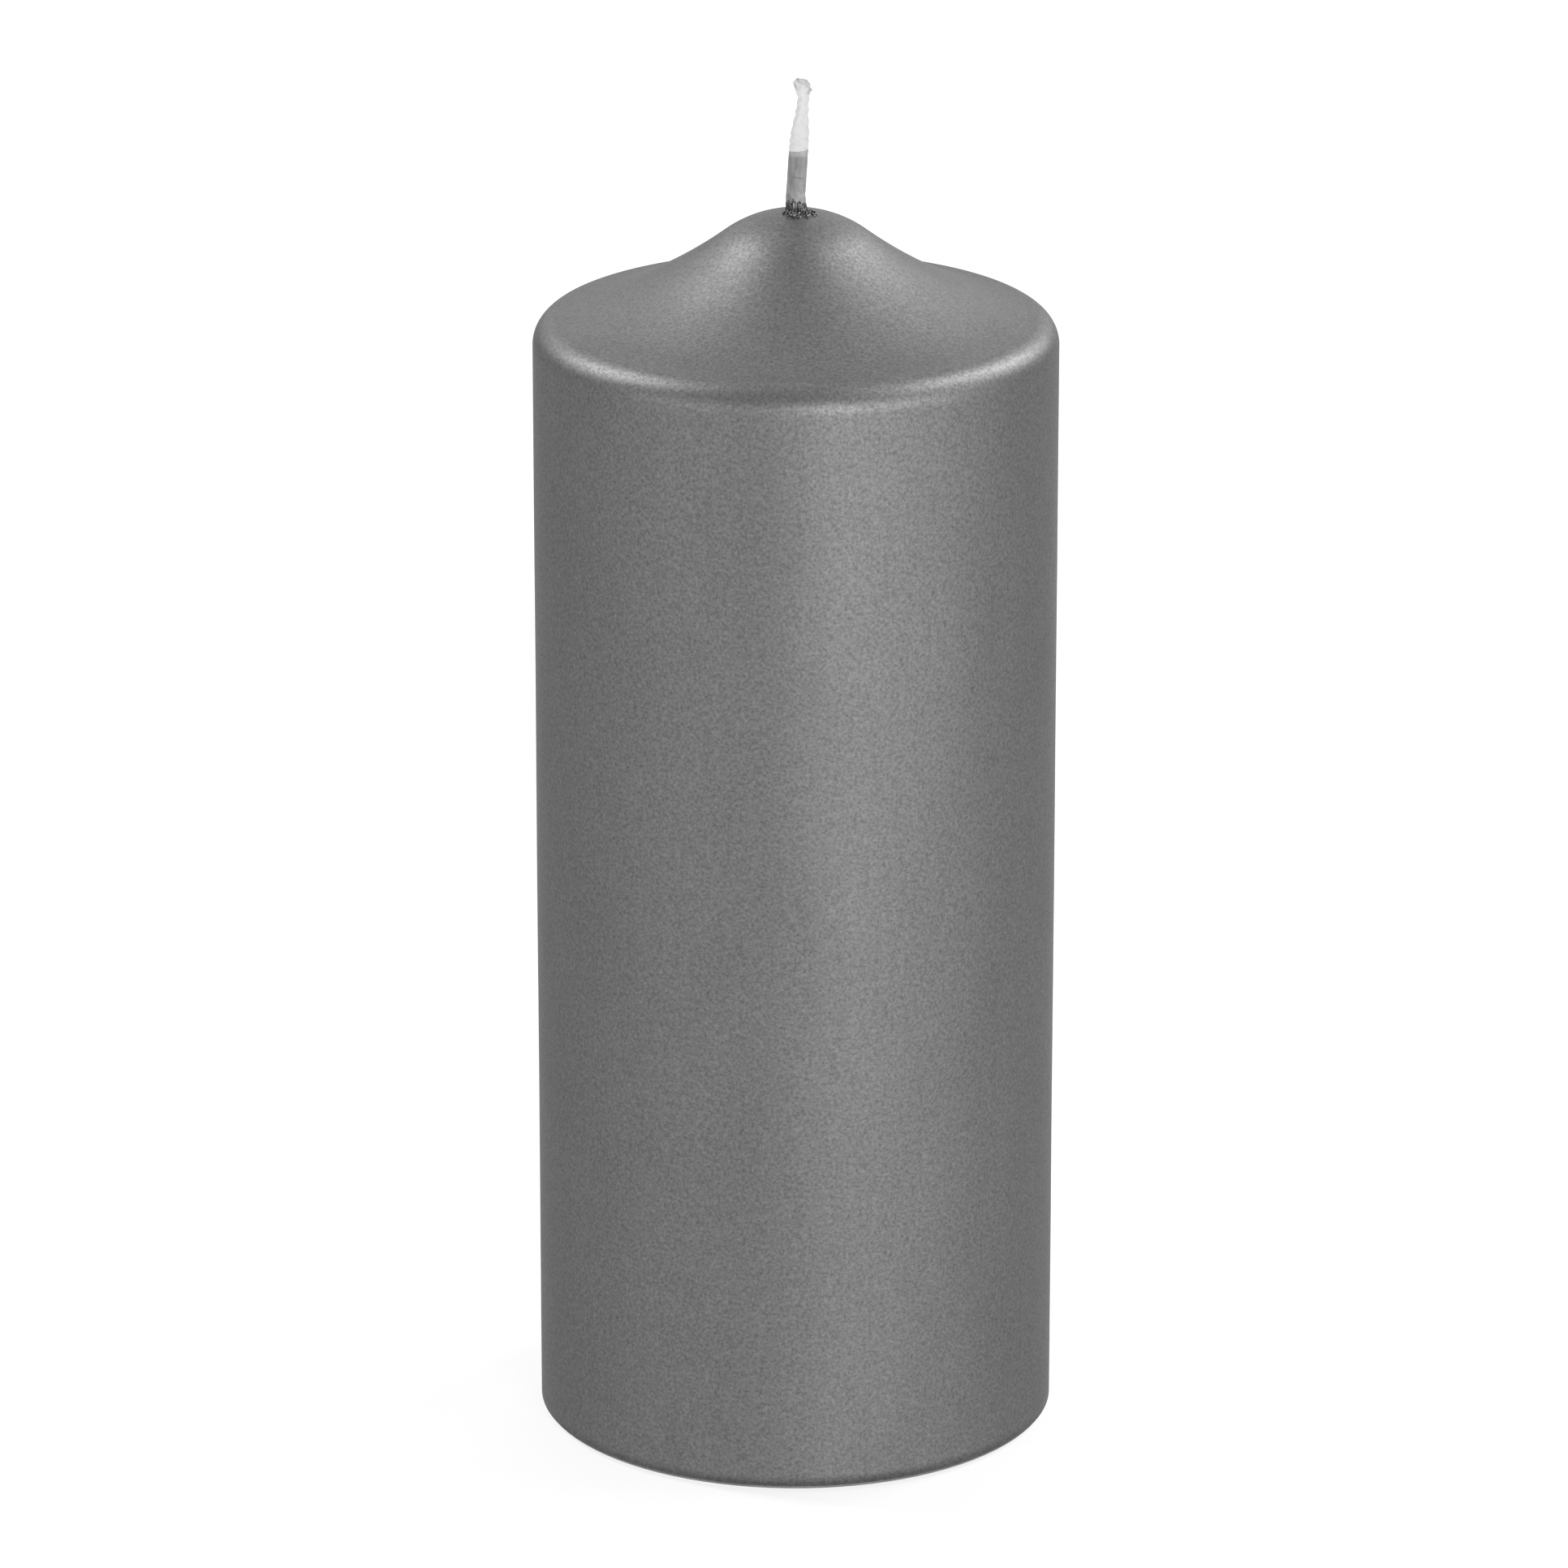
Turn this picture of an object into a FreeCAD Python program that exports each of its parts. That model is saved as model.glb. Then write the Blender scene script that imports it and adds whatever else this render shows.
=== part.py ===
"""Nippled pillar candle with a metallic finish: pressed wax core, dipped coats, braided wick and its fittings.

Millimetres, +Z up. The origin is the centre of the base, where the candle stands.
Each sub-part is one closed solid, written to parts/NODE.step.
"""
import FreeCAD
import Part
import math
import os

# Outside of the finished candle
DIAMETER = 70.0
WALL_TOP_Z = 150.3
SHOULDER_R = 3.8
CROWN_R = 16.3
FLANK_START_R = 26.2
BASE_EDGE_R = 0.55

# Slopes of the top, in degrees from level, where one arc runs into the next
SHOULDER_SLOPE = 8.1
FLANK_SLOPE = 22.9
CROWN_SLOPE = 37.5

# Coats, from the outside in
LACQUER_T = 0.15
COLOUR_COAT_T = 1.0

# Hole for the wick, and the recess for its sustainer
BORE_D = 4.2
RECESS_D = 17.0
RECESS_DEPTH = 1.6
SEAL_SINK = 0.3

# Stamped steel sustainer: a disc with a stiffening bead and a neck crimped on the wick
SUSTAINER_D = 16.0
STEEL_T = 0.25
NECK_H = 5.0
BEAD_RING_D = 10.5
BEAD_D = 0.9

# Flat braided wick, WICK_W along X and WICK_T along Y
WICK_W = 2.5
WICK_T = 1.5
STUB_H = 1.55
FREE_H = 18.1
SLEEVE_H = 7.9
SLEEVE_T = 0.1
BEND_GAP = 0.12
LEAN_AT_SLEEVE_TOP = 0.4
LEAN_AT_TIP = 1.0
TIP_TWIST = 80.0
TIP_FLARE = 1.25
FLARE_H = 2.2
TWIST_STATIONS = 8

# Ring of dried lacquer crumbs round the wick's root
CRUMBS_FOOT_D = 4.5
CRUMBS_TOP_D = 3.4
CRUMBS_DIP = 0.5

RADIUS = DIAMETER / 2
CROWN_EDGE_R = CROWN_R * math.sin(math.radians(CROWN_SLOPE))
SUSTAINER_UNDER_Z = RECESS_DEPTH - STEEL_T


def v(x, y, z):
    return FreeCAD.Vector(x, y, z)


Z_AXIS = v(0, 0, 1)
X_AXIS = v(1, 0, 0)


def normal(slope):
    """Unit normal (radius, height) of a surface that falls outward by slope degrees."""
    return math.sin(math.radians(slope)), math.cos(math.radians(slope))


def top_arcs():
    """The arcs of the top from the wall to the axis: centre, radius, first and last slope.

    A radius is positive where the surface bulges out, and negative where it is hollow.
    """
    shoulder_end = RADIUS - SHOULDER_R * (1 - normal(SHOULDER_SLOPE)[0])
    flare = (shoulder_end - FLANK_START_R) / (normal(FLANK_SLOPE)[0] - normal(SHOULDER_SLOPE)[0])
    flank = (FLANK_START_R - CROWN_EDGE_R) / (normal(CROWN_SLOPE)[0] - normal(FLANK_SLOPE)[0])
    bends = [
        (SHOULDER_R, 90.0, SHOULDER_SLOPE),
        (-flare, SHOULDER_SLOPE, FLANK_SLOPE),
        (-flank, FLANK_SLOPE, CROWN_SLOPE),
        (CROWN_R, CROWN_SLOPE, 0.0),
    ]
    arcs = []
    r, z = RADIUS, WALL_TOP_Z
    for radius, first, last in bends:
        n = normal(first)
        centre = (r - radius * n[0], z - radius * n[1])
        arcs.append((centre, radius, first, last))
        n = normal(last)
        r, z = centre[0] + radius * n[0], centre[1] + radius * n[1]
    return arcs


CROWN_CENTRE = top_arcs()[-1][0]
APEX_Z = CROWN_CENTRE[1] + CROWN_R
STUB_TOP_Z = APEX_Z + STUB_H
BEND_Z = STUB_TOP_Z + BEND_GAP + SLEEVE_T + WICK_T / 2
SLEEVE_TOP_Z = APEX_Z + SLEEVE_H
TIP_Z = APEX_Z + FREE_H


def on_arc(arc, slope, depth):
    """The point at this slope on an arc of the top, at this depth under the outside."""
    centre, radius = arc[0], arc[1]
    n = normal(slope)
    reach = radius - depth
    return v(centre[0] + reach * n[0], 0, centre[1] + reach * n[1])


def turned(points_and_arcs):
    """The solid made by turning a closed outline in the XZ plane about Z."""
    edges = [piece.toShape() for piece in points_and_arcs]
    face = Part.Face(Part.Wire(edges))
    return face.revolve(v(0, 0, 0), Z_AXIS, 360)


def candle_within(depth, bottom=0.0, edge_r=0.0):
    """The candle's body at this depth under its outside, flat at the bottom."""
    wall = RADIUS - depth
    outline = [Part.LineSegment(v(0, 0, bottom), v(wall - edge_r, 0, bottom))]
    if edge_r:
        half = edge_r * math.sin(math.radians(45))
        middle = v(wall - edge_r + half, 0, bottom + edge_r - half)
        outline.append(Part.Arc(v(wall - edge_r, 0, bottom), middle, v(wall, 0, bottom + edge_r)))
    outline.append(Part.LineSegment(v(wall, 0, bottom + edge_r), v(wall, 0, WALL_TOP_Z)))
    for arc in top_arcs():
        first, last = arc[2], arc[3]
        points = [on_arc(arc, slope, depth) for slope in (first, (first + last) / 2, last)]
        outline.append(Part.Arc(*points))
    outline.append(Part.LineSegment(v(0, 0, APEX_Z - depth), v(0, 0, bottom)))
    return turned(outline)


def stadium(width, thickness, z, x=0.0, twist=0.0):
    """Wire of a flat braid's section: straight sides along X and round edges, twisted about Z."""
    r = thickness / 2
    straight = width / 2 - r
    corners = [v(-straight, -r, z), v(straight, -r, z), v(straight, r, z), v(-straight, r, z)]
    pieces = [
        Part.LineSegment(corners[0], corners[1]),
        Part.Arc(corners[1], v(straight + r, 0, z), corners[2]),
        Part.LineSegment(corners[2], corners[3]),
        Part.Arc(corners[3], v(-straight - r, 0, z), corners[0]),
    ]
    wire = Part.Wire([piece.toShape() for piece in pieces])
    wire.rotate(v(0, 0, z), Z_AXIS, twist)
    wire.translate(v(x, 0, 0))
    return wire


def braid_prism(width, thickness, bottom, top, lean=0.0):
    """A straight length of flat braid whose top stands lean further along X than its bottom."""
    section = Part.Face(stadium(width, thickness, bottom))
    return section.extrude(v(lean, 0, top - bottom))


def rounded_foot(width, thickness):
    """The half-round lower end of the bending braid, about the bend's axis."""
    r = thickness / 2
    below = braid_prism(width, thickness, BEND_Z - r, BEND_Z)
    roll = Part.makeCylinder(r, width, v(-width / 2, 0, BEND_Z), X_AXIS)
    return below.common(roll)


def bending_length(width, thickness):
    """The braid from the bend to the top of its lacquered length, with its round foot."""
    stem = braid_prism(width, thickness, BEND_Z, SLEEVE_TOP_Z, LEAN_AT_SLEEVE_TOP)
    return stem.fuse(rounded_foot(width, thickness)).removeSplitter()


def smooth_step(t):
    t = min(max(t, 0.0), 1.0)
    return t * t * (3 - 2 * t)


def twisted_length():
    """The bare braid above the lacquer, which twists on its way up and frays open at its cut end."""
    wires = []
    for i in range(TWIST_STATIONS + 1):
        t = i / TWIST_STATIONS
        z = SLEEVE_TOP_Z + t * (TIP_Z - SLEEVE_TOP_Z)
        x = LEAN_AT_SLEEVE_TOP + t * (LEAN_AT_TIP - LEAN_AT_SLEEVE_TOP)
        flare = 1 + (TIP_FLARE - 1) * smooth_step((z - TIP_Z + FLARE_H) / FLARE_H)
        wires.append(stadium(WICK_W * flare, WICK_T * flare, z, x, TIP_TWIST * smooth_step(t)))
    return Part.makeLoft(wires, True, False)


def bore():
    return Part.makeCylinder(BORE_D / 2, APEX_Z)


def wick_in_wax():
    """The braid inside the candle, from the sustainer to a short stub above the top."""
    return braid_prism(WICK_W, WICK_T, SUSTAINER_UNDER_Z, STUB_TOP_Z)


def wick_sustainer():
    """A thin disc against the recess's roof, with a bead under it and a neck on the braid."""
    disc = Part.makeCylinder(SUSTAINER_D / 2, STEEL_T, v(0, 0, SUSTAINER_UNDER_Z))
    bead = Part.makeTorus(BEAD_RING_D / 2, BEAD_D / 2, v(0, 0, RECESS_DEPTH))
    above = Part.makeCylinder(RECESS_D / 2, BEAD_D, v(0, 0, RECESS_DEPTH))
    disc = disc.fuse(bead.cut(above))
    neck_top = RECESS_DEPTH + NECK_H
    neck = braid_prism(WICK_W + 2 * STEEL_T, WICK_T + 2 * STEEL_T, SUSTAINER_UNDER_Z, neck_top)
    return disc.fuse(neck).cut(wick_in_wax()).removeSplitter()


def wax_core():
    """The pressed core, bored through for the wick and recessed for the sustainer."""
    recess = Part.makeCylinder(RECESS_D / 2, RECESS_DEPTH)
    return candle_within(LACQUER_T + COLOUR_COAT_T).cut(bore()).cut(recess)


def bore_wax():
    """The wax that fills the bore round the wick and the sustainer's neck."""
    floor = Part.makeCylinder(RECESS_D / 2, RECESS_DEPTH)
    filling = candle_within(LACQUER_T + COLOUR_COAT_T).common(bore()).cut(floor)
    return filling.cut(wick_in_wax()).cut(wick_sustainer())


def base_seal():
    """The wax poured over the sustainer, a little below the base's face."""
    pour = Part.makeCylinder(RECESS_D / 2, RECESS_DEPTH - SEAL_SINK, v(0, 0, SEAL_SINK))
    return pour.cut(wick_sustainer()).cut(wick_in_wax())


def colour_dip_coat():
    """The coloured wax dipped over the core, open at the planed base."""
    outside = candle_within(LACQUER_T, edge_r=BASE_EDGE_R)
    return outside.cut(candle_within(LACQUER_T + COLOUR_COAT_T)).cut(wick_in_wax())


def lacquer_film():
    """The metallic lacquer, which ends where the base's edge is planed round."""
    outside = candle_within(0.0, bottom=BASE_EDGE_R)
    return outside.cut(candle_within(LACQUER_T)).cut(wick_in_wax())


def lacquer_crumbs():
    """The ring of dried lacquer and wax crumbs where the wick leaves the top."""
    foot_z = APEX_Z - CRUMBS_DIP
    ring = Part.makeCone(CRUMBS_FOOT_D / 2, CRUMBS_TOP_D / 2, STUB_TOP_Z - foot_z, v(0, 0, foot_z))
    return ring.cut(candle_within(0.0)).cut(wick_in_wax())


def wick_free_end():
    """The braid above the bend."""
    return bending_length(WICK_W, WICK_T).fuse(twisted_length()).removeSplitter()


def wick_lacquer_sleeve():
    """The lacquer dried on the lower half of the free braid."""
    outside = bending_length(WICK_W + 2 * SLEEVE_T, WICK_T + 2 * SLEEVE_T)
    return outside.cut(bending_length(WICK_W, WICK_T))


SUB_PARTS = [
    wax_core,
    colour_dip_coat,
    lacquer_film,
    bore_wax,
    wick_in_wax,
    wick_sustainer,
    base_seal,
    lacquer_crumbs,
    wick_free_end,
    wick_lacquer_sleeve,
]

os.makedirs("parts", exist_ok=True)
for make in SUB_PARTS:
    shape = make()
    shape.exportStep(f"parts/{make.__name__}.step")
    print(f"{make.__name__}: {len(shape.Solids)} solid, valid {shape.isValid()}, {shape.Volume:.1f} mm3")
print(f"apex {APEX_Z:.3f}, bend {BEND_Z:.3f}, sleeve top {SLEEVE_TOP_Z:.3f}, tip {TIP_Z:.3f}")
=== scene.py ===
import math
import random

import bpy
import numpy as np
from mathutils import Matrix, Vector, noise


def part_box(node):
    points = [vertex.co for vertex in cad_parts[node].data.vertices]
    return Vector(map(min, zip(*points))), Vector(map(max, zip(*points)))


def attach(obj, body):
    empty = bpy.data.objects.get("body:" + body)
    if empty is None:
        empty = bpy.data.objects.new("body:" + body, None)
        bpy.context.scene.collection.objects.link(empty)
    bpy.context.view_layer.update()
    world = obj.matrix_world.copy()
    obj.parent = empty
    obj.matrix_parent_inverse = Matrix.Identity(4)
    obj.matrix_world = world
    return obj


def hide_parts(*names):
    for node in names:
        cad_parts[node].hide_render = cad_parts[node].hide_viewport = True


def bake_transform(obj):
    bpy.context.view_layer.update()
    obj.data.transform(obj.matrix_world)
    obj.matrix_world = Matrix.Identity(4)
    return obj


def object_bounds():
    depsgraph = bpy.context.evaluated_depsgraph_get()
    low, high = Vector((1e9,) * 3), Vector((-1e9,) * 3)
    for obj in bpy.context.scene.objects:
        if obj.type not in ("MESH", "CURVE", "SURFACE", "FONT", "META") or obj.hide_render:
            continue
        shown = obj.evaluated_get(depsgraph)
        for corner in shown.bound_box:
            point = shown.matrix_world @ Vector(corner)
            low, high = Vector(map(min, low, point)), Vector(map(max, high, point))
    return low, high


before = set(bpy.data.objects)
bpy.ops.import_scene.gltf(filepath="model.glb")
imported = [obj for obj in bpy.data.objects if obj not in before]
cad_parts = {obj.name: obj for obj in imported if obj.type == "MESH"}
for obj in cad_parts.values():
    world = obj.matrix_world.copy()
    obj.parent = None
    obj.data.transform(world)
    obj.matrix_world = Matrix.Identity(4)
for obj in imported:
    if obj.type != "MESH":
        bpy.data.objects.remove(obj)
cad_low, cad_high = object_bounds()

MM = 0.001

# ---------------------------------------------------------------- places, from the frame
film_low, film_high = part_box("lacquer_film")
RADIUS = film_high.x
APEX_Z = film_high.z
FILM_FOOT_Z = film_low.z
STUB_TOP_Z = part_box("wick_in_wax")[1].z
SLEEVE_TOP_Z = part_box("wick_lacquer_sleeve")[1].z
TIP_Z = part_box("wick_free_end")[1].z

# ---------------------------------------------------------------- the candle's outline
# slopes are in degrees and positive where the surface falls outward
WALL_TOP_Z = 150.3 * MM
SHOULDER_R = 3.8 * MM
CROWN_R = 16.3 * MM
FLANK_START_R = 26.2 * MM
SHOULDER_SLOPE, FLANK_SLOPE, CROWN_SLOPE = 8.1, 22.9, 37.5
FILM_T = 0.15 * MM


def normal(slope):
    """Unit normal (radius, height) of a surface that falls outward by slope degrees."""
    return math.sin(math.radians(slope)), math.cos(math.radians(slope))


def outline(steps_on_wall=110):
    """Points (r, z, normal r, normal z) of the outside, from the base's edge to the axis."""
    points = []
    for i in range(steps_on_wall):
        z = FILM_FOOT_Z + (WALL_TOP_Z - FILM_FOOT_Z) * i / steps_on_wall
        points.append((RADIUS, z, 1.0, 0.0))
    crown_edge = CROWN_R * normal(CROWN_SLOPE)[0]
    shoulder_end = RADIUS - SHOULDER_R * (1 - normal(SHOULDER_SLOPE)[0])
    flare = (shoulder_end - FLANK_START_R) / (normal(FLANK_SLOPE)[0] - normal(SHOULDER_SLOPE)[0])
    flank = (FLANK_START_R - crown_edge) / (normal(CROWN_SLOPE)[0] - normal(FLANK_SLOPE)[0])
    # radius (negative where hollow), first slope, last slope, steps
    bends = [
        (SHOULDER_R, 90.0, SHOULDER_SLOPE, 22),
        (-flare, SHOULDER_SLOPE, FLANK_SLOPE, 12),
        (-flank, FLANK_SLOPE, CROWN_SLOPE, 26),
        (CROWN_R, CROWN_SLOPE, 0.0, 30),
    ]
    r, z = RADIUS, WALL_TOP_Z
    for radius, first, last, steps in bends:
        n = normal(first)
        centre = (r - radius * n[0], z - radius * n[1])
        for i in range(steps + 1):
            n = normal(first + (last - first) * i / steps)
            r, z = centre[0] + radius * n[0], centre[1] + radius * n[1]
            if i < steps:
                points.append((r, z, n[0], n[1]))
    return points


# ---------------------------------------------------------------- mesh helpers
def new_piece(name, vertices, faces):
    """A smooth-shaded mesh object in the scene."""
    mesh = bpy.data.meshes.new(name)
    mesh.from_pydata([tuple(v) for v in vertices], [], faces)
    mesh.validate()
    mesh.polygons.foreach_set("use_smooth", [True] * len(mesh.polygons))
    mesh.update()
    piece = bpy.data.objects.new(name, mesh)
    bpy.context.scene.collection.objects.link(piece)
    return piece


def paint(piece, name, values):
    """Stores one value for each vertex, for a material to read."""
    attribute = piece.data.attributes.new(name, "FLOAT", "POINT")
    attribute.data.foreach_set("value", values)


def turn(j, around):
    """Angle of point j of a ring."""
    return 2 * math.pi * j / around


def ring_faces(rings, around, first=0):
    """Quads between consecutive closed rings of vertices."""
    faces = []
    for i in range(rings - 1):
        for j in range(around):
            a = first + i * around + j
            b = first + i * around + (j + 1) % around
            faces.append((a, b, b + around, a + around))
    return faces


def shell_faces(rings, around):
    """Quads of a closed shell, whose last ring joins its first."""
    faces = ring_faces(rings, around)
    last = (rings - 1) * around
    for j in range(around):
        k = (j + 1) % around
        faces.append((last + j, last + k, k, j))
    return faces


# waves per metre, their height, and what share of that many there are along the candle
SLOW_WAVES, SLOW_HEIGHT, SLOW_ALONG = 55, 0.035 * MM, 0.6
FINE_WAVES, FINE_HEIGHT, FINE_ALONG = 260, 0.006 * MM, 0.8
FINE_START = Vector((7, 3, 1))


def waviness(x, y, z):
    """How far the dipped surface stands off a true one, in metres."""
    slow = noise.noise(Vector((x, y, z * SLOW_ALONG)) * SLOW_WAVES)
    fine = noise.noise(Vector((x, y, z * FINE_ALONG)) * FINE_WAVES + FINE_START)
    return SLOW_HEIGHT * slow + FINE_HEIGHT * fine


def make_lacquer_skin(around=320, hole_r=0.8 * MM):
    """The lacquered outside: a thin closed shell, wavy as a dipped coat, with a hole for the wick."""
    points = [p for p in outline() if p[0] > hole_r]
    last = points[-1]
    points.append((hole_r, last[1] + (last[0] - hole_r) * last[2] / last[3], last[2], last[3]))
    shell = [(r, z, nr, nz, 0.0) for r, z, nr, nz in points]
    shell += [(r, z, nr, nz, FILM_T) for r, z, nr, nz in reversed(points)]
    vertices = []
    for r, z, nr, nz, depth in shell:
        for j in range(around):
            a = turn(j, around)
            off = waviness(r * math.cos(a), r * math.sin(a), z) - depth
            x = (r + nr * off) * math.cos(a)
            y = (r + nr * off) * math.sin(a)
            vertices.append((x, y, z + nz * off))
    return new_piece("lacquer_skin", vertices, shell_faces(len(shell), around))


# ---------------------------------------------------------------- the wick
BRAID_FOOT_Z = STUB_TOP_Z - 0.6 * MM
NECK_Z = TIP_Z - 2.6 * MM
STRANDS = 3
PLAIT_LENGTH = 4.2 * MM
YARNS = 7
YARN_LENGTH = 1.3 * MM
TIP_SLANT = (0.34, 0.14)
SLEEVE_T = 0.1 * MM
FULL_TWIST = math.radians(78)
# height and sideways place of the braid's middle, in mm
LEAN = [(170.9, -0.03), (176.3, 0.31), (180.7, 0.66), (183.7, 0.99), (185.6, 0.88), (186.6, 0.86)]
# the braid's size, how much less it is above the sleeve, and how much less under it, in mm
HALF_WIDTH = (1.31, 0.12, 0.13)
HALF_THICKNESS = (0.8, 0.05, 0.08)
# size of each strand and of its swing, as shares of the braid's half-width and half-thickness
STRAND_WIDTH, STRAND_THICKNESS = 0.78, 0.84
SWING_ALONG, SWING_ACROSS = 0.22, 0.16


def smooth_step(t):
    """0 below nought to 1 above one, with a soft start and end."""
    t = min(max(t, 0.0), 1.0)
    return t * t * (3 - 2 * t)


def braid_x(z):
    """Where the braid's middle is at a height. It leans to +X."""
    heights, places = zip(*LEAN)
    return np.interp(z / MM, heights, places) * MM


def freed(z):
    """0 up to the sleeve's top, then up to 1 at the neck."""
    return smooth_step((z - SLEEVE_TOP_Z) / (NECK_Z - SLEEVE_TOP_Z))


def braid_axes(z):
    """Directions along the braid's width and across its thickness, turned by its twist."""
    twist = FULL_TWIST * freed(z)
    along = Vector((math.cos(twist), math.sin(twist), 0))
    across = Vector((-math.sin(twist), math.cos(twist), 0))
    return along, across


def braid_halves(z):
    """Half the braid's width and half its thickness at a height."""
    gripped = smooth_step((SLEEVE_TOP_Z + 0.5 * MM - z) / (0.7 * MM))
    halves = []
    for full, less_above, less_under in (HALF_WIDTH, HALF_THICKNESS):
        halves.append((full - less_above * freed(z) - less_under * gripped) * MM)
    return halves


def braid_flare(z):
    """How much the braid widens where it frays, above its neck."""
    return 1 + 0.52 * smooth_step((z - NECK_Z) / (1.5 * MM))


def strand_middle(k, z):
    """Where strand k of the flat three-strand plait runs at a height."""
    half_w, half_t = braid_halves(z)
    flare = braid_flare(z)
    along, across = braid_axes(z)
    phase = 2 * math.pi * (z / PLAIT_LENGTH + k / STRANDS)
    u = SWING_ALONG * half_w * math.sin(phase) * flare
    w = SWING_ACROSS * half_t * math.sin(2 * phase) * flare
    return Vector((braid_x(z), 0, z)) + along * u + across * w


def slanted(point):
    """The cut at the tip runs down towards +X, and less towards +Y."""
    t = smooth_step((point.z - NECK_Z - 0.4 * MM) / (1.6 * MM))
    from_edge = point.x - braid_x(TIP_Z) + 0.9 * MM
    drop = TIP_SLANT[0] * from_edge + TIP_SLANT[1] * (point.y + 0.6 * MM)
    return Vector((point.x, point.y, point.z - t * drop))


def strand_rings(k, around=26, step=0.07 * MM):
    """Rings of one strand, with the ridges of its yarns and some fluff."""
    rings = []
    count = int((TIP_Z - BRAID_FOOT_Z) / step)
    for i in range(count + 1):
        z = BRAID_FOOT_Z + (TIP_Z - BRAID_FOOT_Z) * i / count
        middle = strand_middle(k, z)
        tangent = (strand_middle(k, z + 0.02 * MM) - strand_middle(k, z - 0.02 * MM)).normalized()
        along = braid_axes(z)[0]
        side = (along - tangent * along.dot(tangent)).normalized()
        front = tangent.cross(side)
        half_w, half_t = braid_halves(z)
        swell = 1 + 0.25 * (braid_flare(z) - 1)
        end = math.sqrt(max(0.02, 1 - smooth_step(1 - (TIP_Z - z) / (0.35 * MM)) ** 2))
        ring = []
        for j in range(around):
            a = turn(j, around)
            ridge = 1 + 0.035 * math.cos(YARNS * a + 2 * math.pi * z / YARN_LENGTH)
            to_side = side * (STRAND_WIDTH * half_w * math.cos(a))
            to_front = front * (STRAND_THICKNESS * half_t * math.sin(a))
            base = middle + to_side + to_front
            coarse, fine = noise.noise(base / (0.35 * MM)), noise.noise(base / (0.12 * MM))
            fluff = 1 + 0.07 * coarse + 0.04 * fine
            offset = (base - middle) * (ridge * fluff * swell * end)
            ring.append(slanted(middle + offset))
        rings.append(ring)
    return rings


def closed_tube(rings, vertices, faces):
    """Adds a tube through these rings, with its ends closed."""
    around = len(rings[0])
    first = len(vertices)
    for ring in rings:
        vertices.extend(ring)
    faces.extend(ring_faces(len(rings), around, first))
    last = first + (len(rings) - 1) * around
    faces.append(tuple(first + j for j in reversed(range(around))))
    faces.append(tuple(last + j for j in range(around)))


def fibre_rings(points, radius):
    """Three-sided rings of a fibre that thins towards its end."""
    rings = []
    for i, point in enumerate(points):
        taper = radius * (1 - 0.75 * i / (len(points) - 1))
        heading = (points[min(i + 1, len(points) - 1)] - points[max(i - 1, 0)]).normalized()
        side = heading.orthogonal().normalized()
        front = heading.cross(side)
        turns = [turn(j, 3) for j in range(3)]
        rings.append([point + (side * math.cos(a) + front * math.sin(a)) * taper for a in turns])
    return rings


def tip_fibre(rng):
    """A cotton end at the cut, which leaves its strand above the neck and leans outward."""
    z = NECK_Z + rng.uniform(0.0, 1.9) * MM
    half_w, half_t = braid_halves(z)
    flare = braid_flare(z)
    a = rng.uniform(0, 2 * math.pi)
    reach = rng.uniform(0.55, 1.0)
    to_side = 0.62 * half_w * reach * math.cos(a) * flare
    to_front = 0.9 * half_t * reach * math.sin(a) * flare
    start = Vector((braid_x(z) + to_side, to_front, z))
    stray = Vector([rng.gauss(0, 0.28) for _ in range(3)])
    lean = Vector((math.cos(a) * 0.4, math.sin(a) * 0.4, 1)) + stray
    length = min(rng.uniform(0.4, 1.1) * MM, TIP_Z + 0.15 * MM - z)
    curl = Vector([rng.gauss(0, 0.2) for _ in range(3)])
    points = []
    for i in range(5):
        t = i / 4
        points.append(slanted(start + (lean.normalized() * t + curl * t * t) * length))
    return points


def fuzz_fibre(rng):
    """A short hair that stands off the bare braid."""
    z = rng.uniform(SLEEVE_TOP_Z + 0.6 * MM, NECK_Z)
    half_w, half_t = braid_halves(z)
    along, across = braid_axes(z)
    a = rng.uniform(0, 2 * math.pi)
    out = along * math.cos(a) + across * math.sin(a)
    to_side = along * (0.93 * half_w * math.cos(a))
    to_front = across * (0.85 * half_t * math.sin(a))
    start = Vector((braid_x(z), 0, z)) + to_side + to_front
    rise = Vector((0, 0, rng.uniform(0.3, 1.6)))
    length = rng.uniform(0.12, 0.35) * MM
    points = []
    for i in range(4):
        t = i / 3
        heading = (out * (0.6 * t - 0.35 * t * t) + rise * t).normalized()
        points.append(start + heading * (length * t))
    return points


TIP_FIBRES, TIP_FIBRE_R = 420, 0.028 * MM
FUZZ_FIBRES, FUZZ_FIBRE_R = 260, 0.012 * MM


def make_braid():
    """The cotton braid, from inside its root to its frayed tip."""
    rng = random.Random(11)
    vertices, faces = [], []
    for k in range(STRANDS):
        closed_tube(strand_rings(k), vertices, faces)
    for _ in range(TIP_FIBRES):
        closed_tube(fibre_rings(tip_fibre(rng), TIP_FIBRE_R), vertices, faces)
    for _ in range(FUZZ_FIBRES):
        closed_tube(fibre_rings(fuzz_fibre(rng), FUZZ_FIBRE_R), vertices, faces)
    return new_piece("wick_braid", vertices, faces)


def stadium_radius(angle, half_w, half_t):
    """Distance from the middle to a flat braid's outline at this angle from its width."""
    c, s = abs(math.cos(angle)), abs(math.sin(angle))
    straight = half_w - half_t
    if s > 1e-9 and half_t * c / s <= straight:
        return half_t / s
    b = straight * c
    return b + math.sqrt(max(0.0, b * b - straight * straight + half_t * half_t))


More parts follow.
